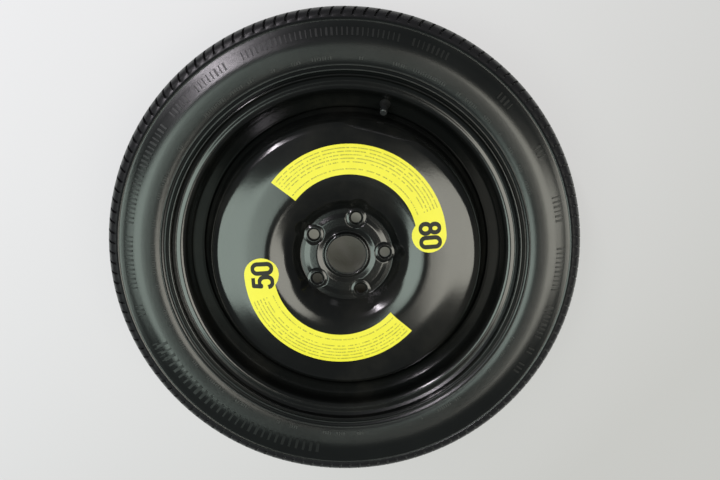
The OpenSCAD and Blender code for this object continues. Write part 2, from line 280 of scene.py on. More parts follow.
def printed_film(name, centre, degrees):
    material, tree, shader = finish_of(name, Base_Color=(0.9, 0.84, 0.03), Roughness=0.42)
    place = place_of(tree)
    moved = add(tree, "ShaderNodeMapping", {"vector_type": "TEXTURE"}, {
        "Vector": place, "Location": (*centre, 0), "Rotation": (0, 0, math.radians(degrees))})
    x, y, radius = plan_of(tree, moved)
    angle = y.math("ARCTAN2", x)
    row = ((LABEL_R - radius) * 1000.0 - FIRST_ROW) / ROW_GAP
    line = row.math("FRACT")
    number = row.math("FLOOR")
    along = angle * PRINT_R
    spot = add(tree, "ShaderNodeCombineXYZ", None, {0: along, 1: number * 7.3, 2: 0.0})
    letters = noise(tree, spot, 1.6, 1.0)
    words = noise(tree, spot, 0.22, 0.0)
    inside = (angle > PRINT_FROM) * (angle < PRINT_TO)
    small = (letters > 0.44) * (words > 0.38) * (line > 0.32) * (line < 0.64)
    small = small * (number > -0.5) * (number < SMALL_ROWS - 0.5)
    bold = (letters > 0.50) * (words > 0.34) * (line > 0.30) * (line < 0.66)
    bold = bold * ((number - BOLD_ROW).math("ABSOLUTE") < 0.5)
    mask = (small * 0.62 + bold * 0.86) * inside
    tone = noise(tree, place, 60.0, 2.0)
    paper = colour_mix(tree, tone, (0.80, 0.74, 0.024), (0.88, 0.82, 0.045))
    feed(tree, shader, "Base Color", colour_mix(tree, mask, paper, (0.10, 0.09, 0.02)))
    feed(tree, shader, "Roughness", 0.36 + tone * 0.12)
    return material


films = {name: printed_film(name + "_film", *where) for name, where in LABEL_PLACES.items()}


def printing_ink():
    material, tree, shader = finish_of(
        "dark_ink", Base_Color=(0.02, 0.021, 0.018), Roughness=0.45, Specular_IOR_Level=0.2)
    cover = noise(tree, place_of(tree), 420.0, 3.0)
    feed(tree, shader, "Base Color", colour_mix(
        tree, cover, (0.012, 0.014, 0.012), (0.034, 0.035, 0.024)))
    feed(tree, shader, "Roughness", 0.38 + cover * 0.14)
    return material


ink_material = printing_ink()
print("made", [m.name for m in films.values()])

# %% [markdown]
# The valve's metal is brass and steel, and its body and cap are black rubber and plastic.

# %% Valve finishes
def small_part(name, colour, metallic, rough, grain_scale):
    material, tree, shader = finish_of(name, Base_Color=colour, Metallic=metallic, Roughness=rough)
    place = place_of(tree)
    grain = noise(tree, place, grain_scale, 2.0)
    darker = tuple(c * 0.8 for c in colour)
    feed(tree, shader, "Base Color", colour_mix(tree, grain, darker, colour))
    feed(tree, shader, "Roughness", (rough - 0.06) + grain * 0.12)
    feed(tree, shader, "Normal", bump(tree, grain, 0.1, 0.0002))
    return material


brass = small_part("turned_brass", (0.72, 0.52, 0.20), 1.0, 0.30, 700.0)
steel = small_part("drawn_steel", (0.55, 0.55, 0.54), 1.0, 0.32, 700.0)
cap_plastic = small_part("cap_plastic", (0.020, 0.021, 0.022), 0.0, 0.34, 500.0)
valve_black = small_part("valve_rubber", (0.008, 0.0085, 0.0085), 0.0, 0.55, 500.0)
seal_red = small_part("seal_red", (0.40, 0.05, 0.03), 0.0, 0.45, 500.0)
weld_metal = small_part("painted_weld", (0.010, 0.011, 0.011), 0.0, 0.30, 300.0)
print("made the valve's finishes")

# %% [markdown]
# Rolled and pressed pieces are outlines turned round the axle. An outline is a list of corners,
# each with a radius, a height and a rounding, as on the drawing of a pressing.

# %% Outlines
def rounded(corners, step=4.0):
    """Points along the outline, with each corner rounded by an arc."""
    points = []
    for i, (r, z, fillet) in enumerate(corners):
        b = np.array([r, z], float)
        if i in (0, len(corners) - 1) or fillet <= 0:
            points.append(b)
            continue
        u = np.array(corners[i - 1][:2], float) - b
        v = np.array(corners[i + 1][:2], float) - b
        u, v = u / np.linalg.norm(u), v / np.linalg.norm(v)
        half = math.acos(max(-1.0, min(1.0, float(u @ v)))) / 2
        middle = b + (u + v) / np.linalg.norm(u + v) * fillet / math.sin(half)
        p = b + u * fillet / math.tan(half) - middle
        q = b + v * fillet / math.tan(half) - middle
        start = math.atan2(p[1], p[0])
        sweep = (math.atan2(q[1], q[0]) - start + math.pi) % (2 * math.pi) - math.pi
        n = max(2, math.ceil(abs(math.degrees(sweep)) / step))
        for k in range(n + 1):
            a = start + sweep * k / n
            points.append(middle + fillet * np.array([math.cos(a), math.sin(a)]))
    return np.array(points)


def spaced(path, gap):
    """The path with its long steps cut into shorter ones. The gap may depend on the place."""
    out = [path[0]]
    for a, b in zip(path[:-1], path[1:]):
        length = np.linalg.norm(b - a)
        if length < 1e-6:
            continue
        wish = gap(a) if callable(gap) else gap
        n = max(1, math.ceil(length / wish))
        out += [a + (b - a) * k / n for k in range(1, n + 1)]
    return np.array(out)


def normals_of(path):
    """Normals left of the path, longer at a bend, so that an offset keeps its distance."""
    d = np.diff(path, axis=0)
    d /= np.linalg.norm(d, axis=1)[:, None]
    n = np.stack([-d[:, 1], d[:, 0]], 1)
    return np.vstack([n[:1], (n[:-1] + n[1:]) / (1 + (n[:-1] * n[1:]).sum(1))[:, None], n[-1:]])


def mesh_piece(name, points, faces, material):
    """A smooth mesh object at the origin. Points are in millimetres."""
    mesh = bpy.data.meshes.new(name)
    mesh.from_pydata((np.asarray(points) * MM).tolist(), [], faces.tolist())
    mesh.polygons.foreach_set("use_smooth", [True] * len(mesh.polygons))
    mesh.materials.append(material)
    mesh.update()
    return stand(name, mesh)


def ring_grid(rows, columns, first=0, across=False):
    """Quads over a grid of points, wrapped round in its columns, and in its rows if across."""
    last = rows if across else rows - 1
    i, j = np.meshgrid(np.arange(last), np.arange(columns), indexing="ij")
    i2, j2 = (i + 1) % rows, (j + 1) % columns
    quads = np.stack([i * columns + j, i * columns + j2, i2 * columns + j2, i2 * columns + j], -1)
    return quads.reshape(-1, 4) + first


def turned(path, columns):
    """Points of an outline turned round the axle."""
    a = np.linspace(0, 2 * math.pi, columns, endpoint=False)
    x = path[:, 0][:, None] * np.cos(a)
    y = path[:, 0][:, None] * np.sin(a)
    z = np.repeat(path[:, 1][:, None], columns, 1)
    return np.stack([x, y, z], -1).reshape(-1, 3)


def facing_out(piece, merge=True):
    """Merges doubles if asked, drops points without faces and turns the faces outwards."""
    bm = bmesh.new()
    bm.from_mesh(piece.data)
    if merge:
        bmesh.ops.remove_doubles(bm, verts=bm.verts, dist=1e-6)
    bmesh.ops.delete(bm, geom=[v for v in bm.verts if not v.link_faces], context="VERTS")
    bmesh.ops.recalc_face_normals(bm, faces=bm.faces)
    bm.to_mesh(piece.data)
    bm.free()


def sharpen(piece, degrees):
    """Keeps edges sharper than this angle crisp under smooth shading."""
    piece.data.set_sharp_from_angle(angle=math.radians(degrees))


def show(piece, body, slot, *nodes):
    """Ties a piece to its body and hides the CAD nodes that it stands for. The slot is not used."""
    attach(piece, body)
    if nodes:
        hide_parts(*nodes)
    print(piece.name, len(piece.data.polygons), "faces")


# %% [markdown]
# The rim is one strip of steel, rolled to this outline and butt-welded into a ring. The ledges that
# show inside it are the back of the flange, the bead seat and the well.

# %% Rim
SEAT_R, HALF_W, RIM_T, WELL_R, MIDDLE = 231.0, 44.45, 2.5, 214.0, -25.5
WELL_TOP_S, WELL_LOW_S = HALF_W - 20.0, HALF_W - 31.5
FLANGE_R = SEAT_R + 17.3
VALVE_ANGLE = 75.6
WELL_TOP_R = SEAT_R - math.tan(math.radians(5)) * 20.0

half = rounded([
    (FLANGE_R - 1.1, HALF_W + 13.5, 0), (FLANGE_R, HALF_W + 10.1, RIM_T + 0.5),
    (FLANGE_R, HALF_W, 9.5), (SEAT_R, HALF_W, 6.5), (WELL_TOP_R, WELL_TOP_S, 14),
    (WELL_R, WELL_LOW_S, 6), (WELL_R, 0, 0)], 6.0)
whole = np.vstack([half, (half * [1, -1])[::-1][1:]])
rim_face = spaced(whole + [0, MIDDLE], 12.0)
rim_back = rim_face - normals_of(rim_face) * RIM_T
LIP = [0, 0.6]  # the strip's edges are slightly round
lip = (rim_face[0] + rim_back[0]) / 2 + LIP
low_lip = (rim_face[-1] + rim_back[-1]) / 2 - LIP
rim_loop = np.vstack([rim_face, [low_lip], rim_back[::-1], [lip]])
RIM_COLUMNS = 320
rim = mesh_piece("rolled_rim", turned(rim_loop, RIM_COLUMNS),
                 ring_grid(len(rim_loop), RIM_COLUMNS, across=True), enamel)
facing_out(rim)
show(rim, "wheel", "black_paint", "rim")

# %% [markdown]
# The disc starts as a flat blank. One stroke draws the hub pad, the steep wall and the dome, and
# bends the edge down to a skirt. A grid of points is turned from the outline first. Then two
# tools press into it: a round wrench pocket at each bolt and a flat beside the valve. A smooth
# minimum gives those pressings the soft edges that sheet steel has. The crease, where the steep
# wall bends over into the dome, lies 2.5 mm higher than in the CAD model, as the reflections ask.

# %% Disc outline
DISC_T, BORE_R, PCD_R, PAD_R, CREST = 4.0, 28.55, 56.0, 67.5, 33.0
RELIEF, RIDGE_TOP, POCKET_R, POCKET_LEAN = 0.4, 6.0, 13.5, math.radians(40)
RIDGE_IN, RIDGE_OUT = BORE_R + 7, PCD_R + 5.5
RIDGE_W = RIDGE_OUT - RIDGE_IN
SKIRT_R = WELL_R - RIM_T - 0.05
SKIRT_TOP = MIDDLE + WELL_LOW_S - 4
DOME_R, DOME_Z = SKIRT_R - 24.0, CREST - 2
CREASE_R, CREASE_Z = PAD_R + 42, CREST - 1.7
disc_corners = [
    (BORE_R, DISC_T, 0), (RIDGE_IN, DISC_T, 3),
    (RIDGE_IN + 0.27 * RIDGE_W, RIDGE_TOP, 0.4 * RIDGE_W),
    (RIDGE_OUT - 0.27 * RIDGE_W, RIDGE_TOP, 0.4 * RIDGE_W), (RIDGE_OUT, DISC_T + RELIEF, 0.9),
    (PAD_R, DISC_T + RELIEF, 1.4), (PAD_R + 16.5, CREST - 9, 38),
    (CREASE_R, CREASE_Z, 55),
    ((CREASE_R + DOME_R) / 2, CREST, 150), (DOME_R, DOME_Z, 16), (DOME_R + 16, DOME_Z - 39, 12),
    (SKIRT_R, SKIRT_TOP, 7), (SKIRT_R, SKIRT_TOP - 15, 0)]
HUB_R = 88.0  # inside this radius the pockets need close rows
disc_face = spaced(rounded(disc_corners, 4.0), lambda p: 1.15 if p[0] < HUB_R else 5.0)
disc_back = disc_face - normals_of(disc_face) * DISC_T
kept_rows = [0]
for row, p in enumerate(disc_back):
    if np.linalg.norm(p - disc_back[kept_rows[-1]]) > (3.0 if p[0] < HUB_R else 6.0):
        kept_rows.append(row)
kept_rows[-1] = len(disc_back) - 1
disc_back = disc_back[kept_rows]
print("disc outline points:", len(disc_face), "in front,", len(disc_back), "behind")


# %% Press the pockets and the flat
def soft_min(a, b, k):
    """The smaller of a and b, with a round transition about k wide."""
    h = np.clip(0.5 + 0.5 * (b - a) / k, 0, 1)
    return b * (1 - h) + a * h - k * h * (1 - h)


BOLTS = [math.radians(VALVE_ANGLE + 72 * i) for i in range(5)]
BOLT_XY = [(PCD_R * math.cos(a), PCD_R * math.sin(a)) for a in BOLTS]
DISC_COLUMNS = 410
POCKET_REACH = 115.0  # no pocket reaches beyond this radius
FLAT_TILT, FLAT_DEPTH, FLAT_HALF_W = math.radians(40), 2.0, 60.0
FLAT_R, FLAT_Z = DOME_R - 5.76, DOME_Z - 2.56


def pressed(path, inset):
    """The turned outline with the pockets and the valve's flat pressed in."""
    p = turned(path, DISC_COLUMNS)
    inner = np.hypot(p[:, 0], p[:, 1]) < POCKET_REACH
    x, y, z = p[inner].T
    foot = POCKET_R + inset * (1 / math.cos(POCKET_LEAN) - math.tan(POCKET_LEAN))
    for bx, by in BOLT_XY:
        wall = (np.hypot(x - bx, y - by) - foot) / math.tan(POCKET_LEAN)
        floor = DISC_T - inset - soft_min(-wall, np.zeros_like(wall), 1.6)
        z = soft_min(z, floor, 1.0)
    p[inner, 2] = z
    a = math.radians(VALVE_ANGLE)
    along = p[:, 0] * math.cos(a) + p[:, 1] * math.sin(a)
    over = (along - FLAT_R) * math.sin(FLAT_TILT) + (p[:, 2] - FLAT_Z) * math.cos(FLAT_TILT)
    over = over + FLAT_DEPTH + inset
    near = np.abs(-p[:, 0] * math.sin(a) + p[:, 1] * math.cos(a)) < FLAT_HALF_W
    near &= along > 150
    push = np.where(near, -soft_min(-over, np.zeros_like(over), 0.8), 0)
    p[:, 0] -= push * math.sin(FLAT_TILT) * math.cos(a)
    p[:, 1] -= push * math.sin(FLAT_TILT) * math.sin(a)
    p[:, 2] -= push * math.cos(FLAT_TILT)
    return p


front = pressed(disc_face, 0.0)
behind = pressed(disc_back, DISC_T)
sheet_points = np.vstack([front, behind])
front_faces = ring_grid(len(disc_face), DISC_COLUMNS)
back_faces = ring_grid(len(disc_back), DISC_COLUMNS, first=len(front))[:, ::-1]
j = np.arange(DISC_COLUMNS)
j2 = (j + 1) % DISC_COLUMNS
front_end, back_end = len(front) - DISC_COLUMNS, len(sheet_points) - DISC_COLUMNS
edge = np.stack([front_end + j, front_end + j2, back_end + j2, back_end + j], 1)
sheet_faces = np.vstack([front_faces, back_faces, edge])
centres = sheet_points[sheet_faces].mean(1)
keep = np.ones(len(sheet_faces), bool)
OPEN_R = 11.0  # a boss covers the edge of this opening
for bx, by in BOLT_XY:
    keep &= np.hypot(centres[:, 0] - bx, centres[:, 1] - by) > OPEN_R
sheet_faces = sheet_faces[keep]
print("sheet faces:", len(sheet_faces))

# %% [markdown]
# Round every bolt hole stands a coined boss with a ball seat, in which the bolt's round shoulder
# centres itself. The bore is flanged upwards into a short collar.

# %% Bosses and collar
BALL_R, BOLT_R, SEAT_TOP_R, BOSS_TOP = 13.0, 7.5, 10.1, DISC_T + 1.6
ball_z = BOSS_TOP + math.sqrt(BALL_R ** 2 - SEAT_TOP_R ** 2)
rim_angle = math.asin(SEAT_TOP_R / BALL_R)
hole_angle = math.asin(BOLT_R / BALL_R)
seat = [(BALL_R * math.sin(t), ball_z - BALL_R * math.cos(t))
        for t in np.linspace(rim_angle - 0.03, hole_angle, 12)]
boss_loop = np.vstack([
    rounded([(17.3, 3.5, 0), (15.8, 4.0, 2.0), (11.0, BOSS_TOP, 1.4), (SEAT_TOP_R, BOSS_TOP, 0.4),
             (seat[0][0] - 0.3, seat[0][1] - 0.25, 0)], 12),
    np.array(seat), [(BOLT_R, 0.0), (14.5, 0.0), (15.8, 2.0)]])
collar_loop = rounded([
    (BORE_R, 0.02, 0), (BORE_R, 11, 1.3), (32.55, 11, 2.0), (32.55, DISC_T, 2.8),
    (36.4, DISC_T - 0.05, 0), (36.4, 0.02, 0)], 9)


def ring_at(loop, columns, centre, points, faces):
    """Adds a turned closed loop, standing at a centre, to the lists of points and faces."""
    first = sum(len(p) for p in points)
    points.append(turned(np.asarray(loop), columns) + [centre[0], centre[1], 0])
    faces.append(ring_grid(len(loop), columns, first=first, across=True))


points, faces = [sheet_points], [sheet_faces]
for centre in BOLT_XY:
    ring_at(boss_loop, 60, centre, points, faces)
ring_at(collar_loop, 150, (0, 0), points, faces)
disc = mesh_piece("pressed_disc", np.vstack(points), np.vstack(faces), enamel)
facing_out(disc, merge=False)
sharpen(disc, 40)
show(disc, "wheel", "black_paint", "wheel_disc")

# %% [markdown]
# The tyre is one moulding. Its outline is turned like the rim's, but its columns follow the tread:
# two close columns stand at each side of a notch, so that the notch has steep walls without a
# fine mesh everywhere. The columns lean over the shoulder, and the notches with them.

# %% Tyre outline
TYRE_R, HALF_SECTION, CROWN_R, GROOVE_DEPTH = SEAT_R + 105.5, HALF_W + 23, 260.0, 5.0
SIDE_S = HALF_SECTION - 2.3
TREAD_HALF = SIDE_S - 18
BULGE_S = HALF_SECTION + 0.4
RIB_R = TYRE_R - 24
WALL_H = RIB_R - FLANGE_R
SIDE_TOP_R, SIDE_LOW_R = RIB_R - 0.125 * WALL_H, FLANGE_R + 0.53 * WALL_H
crown = np.array([(TYRE_R - s * s / (2 * CROWN_R), s) for s in np.linspace(0, TREAD_HALF, 6)])
shoulder = rounded([
    (crown[-1][0] + 0.5, TREAD_HALF - 3, 0),
    (TYRE_R - SIDE_S ** 2 / (2 * CROWN_R) + 0.6, SIDE_S, 18), (SIDE_TOP_R, SIDE_S + 1, 30),
    (SIDE_LOW_R, BULGE_S, 45), (FLANGE_R + 0.2 * WALL_H, BULGE_S - 5.5, 30),
    (FLANGE_R + 2, HALF_W + 10.0, 5), (SEAT_R, HALF_W - 5, 0)], 8.0)


def tyre_gap(p):
    """Fine steps where the surface carries ribs and notches, long ones elsewhere."""
    if p[1] < 44:
        return 9.0
    fine = abs(p[0] - RIB_R - 1) < 5 or p[0] < FLANGE_R + 12 or abs(p[0] - RIB_R + 9) < 2
    return 1.3 if fine else 6.0


outline = spaced(np.vstack([crown, shoulder[1:]]), tyre_gap)
in_the_flange = (outline[:, 0] < FLANGE_R + 0.4) & (outline[:, 1] < HALF_W + 9.5)
outline = outline[~in_the_flange]
WALL_S = 50.0  # the sidewall is what lies further out than this


def raised(path):
    """Adds the shoulder rib, the raised band of the sidewall and three fine ribs at the bead."""
    r, s = path[:, 0], path[:, 1]
    band = 1 / (1 + np.exp(-(r - (FLANGE_R + 33)) / 1.2)) / (1 + np.exp((r - (RIB_R - 9)) / 2.5))
    height = 1.3 * np.exp(-((r - RIB_R) / 1.1) ** 2) + 0.65 * band
    for i in range(3):
        height += 0.6 * np.exp(-((r - (FLANGE_R + 4 + 2.6 * i)) / 0.55) ** 2)
    return path - normals_of(path) * (height * (s > WALL_S))[:, None]


side = raised(outline)
print("tyre outline points:", len(side))

# %% Tread
PITCHES = 140
NOTCH_HALF, NOTCH_WALL = 1.3 / TYRE_R, 0.0012  # as angles round the axle
NOTCH_DEPTH, SIPE_DEPTH = 3.6, 1.6
LEAN = 0.058
GROOVE_HALF_W, SIDE_GROOVE_S = 2.0, 22.0
pitch = 2 * math.pi / PITCHES
parts_of_pitch = np.array([-NOTCH_HALF - NOTCH_WALL, -NOTCH_HALF,
                           NOTCH_HALF, NOTCH_HALF + NOTCH_WALL])
angles = (np.arange(PITCHES)[:, None] * pitch + parts_of_pitch[None, :]).ravel()
cut_column = np.tile([0, 1, 1, 0], PITCHES).astype(float)
TYRE_COLUMNS = len(angles)


def tyre_side(path, sign):
    """One half of the tyre's outer surface, from the middle groove to the bead."""
    r, s = path[:, 0], path[:, 1]
    lean = np.clip((s - 30) / 35, 0, 1) * LEAN
    a = angles[None, :] + sign * lean[:, None]
    depth = np.zeros((len(path), TYRE_COLUMNS))
    groove = (s < GROOVE_HALF_W) | (np.abs(s - SIDE_GROOVE_S) < GROOVE_HALF_W)
    depth += np.where(groove, GROOVE_DEPTH, 0)[:, None]
    shoulder_cut = np.clip((s - 46) / 3, 0, 1) * np.clip((r - (TYRE_R - 20)) / 3, 0, 1)
    depth += (NOTCH_DEPTH * shoulder_cut)[:, None] * cut_column[None, :]
    sipe = ((s > 4) & (s < 19)) | ((s > 25) & (s < 42))  # across the blocks, not the grooves
    depth += np.where(sipe & ~groove, SIPE_DEPTH, 0)[:, None] * cut_column[None, :]
    n = -normals_of(path)
    rr = r[:, None] - depth * n[:, 0][:, None]
    zz = s[:, None] - depth * n[:, 1][:, None]
    return np.stack([rr * np.cos(a), rr * np.sin(a), sign * zz + MIDDLE], -1)


def with_groove_walls(path):
    """Doubles the points at the grooves' edges, so their walls stand straight."""
    out = []
    walls = (GROOVE_HALF_W, SIDE_GROOVE_S - GROOVE_HALF_W, SIDE_GROOVE_S + GROOVE_HALF_W)
    for a, b in zip(path[:-1], path[1:]):
        out.append(a)
        for w in walls:
            if a[1] < w <= b[1]:
                t = (w - a[1]) / (b[1] - a[1])
                for e in (-0.03, 0.03):
                    out.append(a + (b - a) * t + np.array([0, e]))
    out.append(path[-1])
    return np.array(out)


tread_path = with_groove_walls(side)
upper = tyre_side(tread_path, 1)
lower = tyre_side(tread_path, -1)
cavity = rounded([
    (SEAT_R - 0.9, HALF_W - 6, 0), (SEAT_R + 5, WELL_TOP_S + 9, 4), (FLANGE_R, HALF_W - 3, 12),
    (FLANGE_R + 0.25 * WALL_H, BULGE_S - 13.3, 25), (SIDE_LOW_R, BULGE_S - 6, 40),
    (SIDE_TOP_R, SIDE_S - 5, 30), (TYRE_R - 17, SIDE_S - 9, 12), (TYRE_R - 14, 0, 0)], 40)
cavity = spaced(np.vstack([cavity, (cavity * [1, -1])[::-1][1:]]), 30.0)
inner_points = np.stack([
    cavity[:, 0][:, None] * np.cos(angles), cavity[:, 0][:, None] * np.sin(angles),
    np.repeat(cavity[:, 1][:, None] + MIDDLE, TYRE_COLUMNS, 1)], -1)
tyre_grid = np.concatenate([lower[::-1], upper[1:], inner_points], 0)
tyre = mesh_piece("moulded_tyre", tyre_grid.reshape(-1, 3),
                  ring_grid(len(tyre_grid), TYRE_COLUMNS, across=True), rubber)
facing_out(tyre)
sharpen(tyre, 38)
show(tyre, "wheel", "tyre_rubber", "tyre")

# %% [markdown]
# Real sidewalls carry raised words. Here plain raised bars stand in their place. They repeat along
# the wall, so a Geometry Nodes tree sets them: points along an arc, a bar of a random width on
# each, and gaps where a slow noise falls below a level, which breaks the row into words.

# %% Raised bars on the sidewall
def side_height(radius):
    """Height of the outer sidewall at this radius, in millimetres."""
    part = side[side[:, 1] > WALL_S]
    order = np.argsort(part[:, 0])
    return float(np.interp(radius, part[order, 0], part[order, 1])) + MIDDLE


def bar_tree():
    """A row of bars along an arc about the axle, in the plane z = 0."""
    tree = bpy.data.node_groups.new("bar_row", "GeometryNodeTree")
    tree.interface.new_socket("Geometry", in_out="OUTPUT", socket_type="NodeSocketGeometry")
    names = ("Radius", "Start", "Step", "Letter Height", "Letter Width", "Lift", "Gap Level")
    keys = {n: tree.interface.new_socket(
        n, in_out="INPUT", socket_type="NodeSocketFloat").identifier for n in names}
    for n in ("Count", "Seed"):
        keys[n] = tree.interface.new_socket(
            n, in_out="INPUT", socket_type="NodeSocketInt").identifier
    source = tree.nodes.new("NodeGroupInput")
    given = {n: Value(tree, source.outputs[n]) for n in keys}
    index = add(tree, "GeometryNodeInputIndex")
    angle = given["Start"] + index * given["Step"]
    cosine, sine = angle.math("COSINE"), angle.math("SINE")
    spot = add(tree, "ShaderNodeCombineXYZ", None, {
        0: given["Radius"] * cosine, 1: given["Radius"] * sine, 2: 0.0})
    row = add(tree, "GeometryNodeMeshLine", None, {"Count": given["Count"]})
    row = add(tree, "GeometryNodeSetPosition", None, {"Geometry": row, "Position": spot})
    beat = add(tree, "ShaderNodeCombineXYZ", None, {
        0: index * 0.23, 1: given["Seed"] * 3.1, 2: 0.0})
    words = noise(tree, beat, 1.0, 0.0)
    size = add(tree, "ShaderNodeCombineXYZ", None, {
        0: given["Letter Height"], 1: given["Letter Width"], 2: given["Lift"]})
    bar = add(tree, "GeometryNodeMeshCube", None, {"Size": size})
    width = add(tree, "FunctionNodeRandomValue", {"data_type": "FLOAT"}, {
        2: 0.45, 3: 1.0, "Seed": given["Seed"]}, output=1)
    scale = add(tree, "ShaderNodeCombineXYZ", None, {0: 1.0, 1: width, 2: 1.0})
    turn_by = add(tree, "ShaderNodeCombineXYZ", None, {0: 0.0, 1: 0.0, 2: angle})
    bars = add(tree, "GeometryNodeInstanceOnPoints", None, {
        "Points": row, "Selection": words > given["Gap Level"], "Instance": bar,
        "Rotation": turn_by, "Scale": scale})
    real = add(tree, "GeometryNodeRealizeInstances", None, {"Geometry": bars})
    made = add(tree, "GeometryNodeSetMaterial", None, {"Geometry": real, "Material": raised_rubber})
    out = tree.nodes.new("NodeGroupOutput")
    tree.links.new(made.socket, out.inputs[0])
    return tree, keys


def bar_row(name, tree, keys, numbers):
    """Runs the tree once and lays its bars on the sidewall."""
    holder = stand(name + "_maker", bpy.data.meshes.new(name + "_maker"))
    modifier = holder.modifiers.new("bars", "NODES")
    modifier.node_group = tree
    for key, number in numbers.items():
        modifier[keys[key]] = number
    bpy.context.view_layer.update()
    graph = bpy.context.evaluated_depsgraph_get()
    mesh = bpy.data.meshes.new_from_object(holder.evaluated_get(graph))
    holder.modifiers.remove(modifier)
    bpy.data.objects.remove(holder)
    for v in mesh.vertices:
        v.co.z += side_height(math.hypot(v.co.x, v.co.y) / MM) * MM
    mesh.update()
    return stand(name, mesh)


# radius, start in degrees, step, height and width in millimetres, gap level, count, seed
BAR_ROWS = {
    "sidewall_marks_outer": (297.0, 64, 6.6, 10.0, 3.0, 0.40, 118, 3),
    "sidewall_marks_side": (297.0, -34, 6.6, 10.0, 3.0, 0.44, 65, 6),
    "sidewall_marks_large": (289.0, 205, 10.5, 16.0, 5.0, 0.20, 28, 4),
    "sidewall_marks_inner": (266.0, 20, 3.4, 4.0, 2.0, 0.52, 430, 5)}
BAR_T = 1.48
tree, keys = bar_tree()
for name, (radius, start, step, high, wide, level, count, seed) in BAR_ROWS.items():
    marks = bar_row(name, tree, keys, {
        "Radius": radius * MM, "Start": math.radians(start), "Step": step / radius,
        "Letter Height": high * MM, "Letter Width": wide * MM, "Lift": BAR_T * MM,
        "Gap Level": level, "Count": count, "Seed": seed})
    show(marks, "wheel", "tyre_rubber")

# %% [markdown]
# The labels are thin films that lie on the dome. Each outline is filled with triangles in the
# plane, and every point is then lifted to the dome's own height. The big numbers are broad strokes
# along each digit's line, lifted the same way, and sit a hair above the film.

# %% Labels
dome = disc_face[(disc_face[:, 0] > 84) & (disc_face[:, 0] < 186)]


def dome_height(x, y):
    """Height of the dome's front at these places."""
    return np.interp(np.hypot(x, y), dome[:, 0], dome[:, 1])


def label_ring():
    """The label's outline in millimetres, about its own centre."""
    outer, inner = LABEL_R * 1000, (LABEL_R - LABEL_W) * 1000
    end, middle = LABEL_END_R * 1000, (LABEL_R - LABEL_END_R) * 1000
    span = math.radians(LABEL_SPAN)
    meet = (inner ** 2 + middle ** 2 - end ** 2) / (2 * inner * middle)
    start = math.acos(meet)
    a = np.linspace(0, span, 70)
    ring = [(outer * math.cos(t), outer * math.sin(t)) for t in a]
    ring += [(inner * math.cos(t), inner * math.sin(t)) for t in np.linspace(span, start, 60)]
    p = np.array(ring[-1]) - [middle, 0]
    first = math.atan2(p[1], p[0])
    for t in np.linspace(first, 2 * math.pi, 40)[1:-1]:
        ring.append((middle + end * math.cos(t), end * math.sin(t)))
    return ring


def filled(outline, gap):
    """Triangles that fill an outline, with a grid of points inside it."""
    points = [Vector(p) for p in outline]
    n = len(points)
    box = np.array(outline)
    for x in np.arange(box[:, 0].min(), box[:, 0].max(), gap):
        for y in np.arange(box[:, 1].min(), box[:, 1].max(), gap):
            points.append(Vector((x + 0.01, y + 0.013)))  # never right on the outline
    edges = [(i, (i + 1) % n) for i in range(n)]
    verts, _, tris, _, _, _ = delaunay_2d_cdt(points, edges, [], 1, 1e-5)
    used = sorted({i for t in tris for i in t})
    index = {v: k for k, v in enumerate(used)}
    return np.array([verts[i][:] for i in used]), [[index[i] for i in t] for t in tris]


def film_piece(name, flat, tris, lift, thickness, material):
    """A film over the dome: flat is in wheel coordinates, in millimetres."""
    z = dome_height(flat[:, 0], flat[:, 1]) + lift
    bm = bmesh.new()
    verts = [bm.verts.new((x * MM, y * MM, h * MM)) for (x, y), h in zip(flat, z)]
    for triangle in tris:
        bm.faces.new([verts[i] for i in triangle])
    bmesh.ops.recalc_face_normals(bm, faces=bm.faces)
    bm.normal_update()
    if sum(f.normal.z for f in bm.faces) < 0:
        bmesh.ops.reverse_faces(bm, faces=bm.faces)
    top = list(bm.faces) + list(bm.edges) + list(bm.verts)
    underside = bmesh.ops.duplicate(bm, geom=top)["geom"]
    for v in underside:
        if isinstance(v, bmesh.types.BMVert):
            v.co.z -= thickness * MM
    low_faces = [g for g in underside if isinstance(g, bmesh.types.BMFace)]
    bmesh.ops.reverse_faces(bm, faces=low_faces)
    bmesh.ops.bridge_loops(bm, edges=[e for e in bm.edges if e.is_boundary])
    mesh = bpy.data.meshes.new(name)
    bm.to_mesh(mesh)
    bm.free()
    mesh.materials.append(material)
    mesh.polygons.foreach_set("use_smooth", [True] * len(mesh.polygons))
    mesh.update()
    piece = stand(name, mesh)
    sharpen(piece, 40)
    return piece


def placed(points, centre, degrees):
    """Takes points from the label's own plane to the wheel's."""
    a = math.radians(degrees)
    turn = np.array([[math.cos(a), -math.sin(a)], [math.sin(a), math.cos(a)]])
    return points @ turn.T + np.array(centre) * 1000


FILM_LIFT, FILM_T = 0.27, 0.22
flat, tris = filled(label_ring(), 3.2)
for node, (centre, degrees) in LABEL_PLACES.items():
    film = film_piece(node + "_print", placed(flat, centre, degrees), tris,
                      FILM_LIFT, FILM_T, films[node])
    show(film, "wheel", "label_film", node)


# %% Numbers on the labels
def oval(width, height, middle):
    """A closed upright oval with straight sides, about (0, middle)."""
    r = width / 2
    straight = max(0.0, height / 2 - r)
    a = np.linspace(0, 2 * math.pi, 41)
    x, y = r * np.cos(a), min(r, height / 2) * np.sin(a)
    return np.stack([x, y + np.where(y > -1e-6, straight, -straight) + middle], 1)


FIVE = rounded([
    (6.6, 12.6, 0), (-4.4, 12.6, 0.4), (-5.6, 1.6, 0.4), (-3.0, 4.4, 2.4), (6.9, 4.6, 6.6),
    (6.9, -12.6, 6.6), (-5.6, -12.6, 5.6), (-6.9, -6.6, 0)], 12)
DIGITS = {"0": [oval(12.6, 25.0, 0.0)], "8": [oval(11.4, 12.0, 6.5), oval(12.8, 13.4, -5.8)],
          "5": [FIVE]}
DIGIT_SCALE, DIGIT_STEP, NUMBER_LIFT = 1.05, 19.6, 0.45


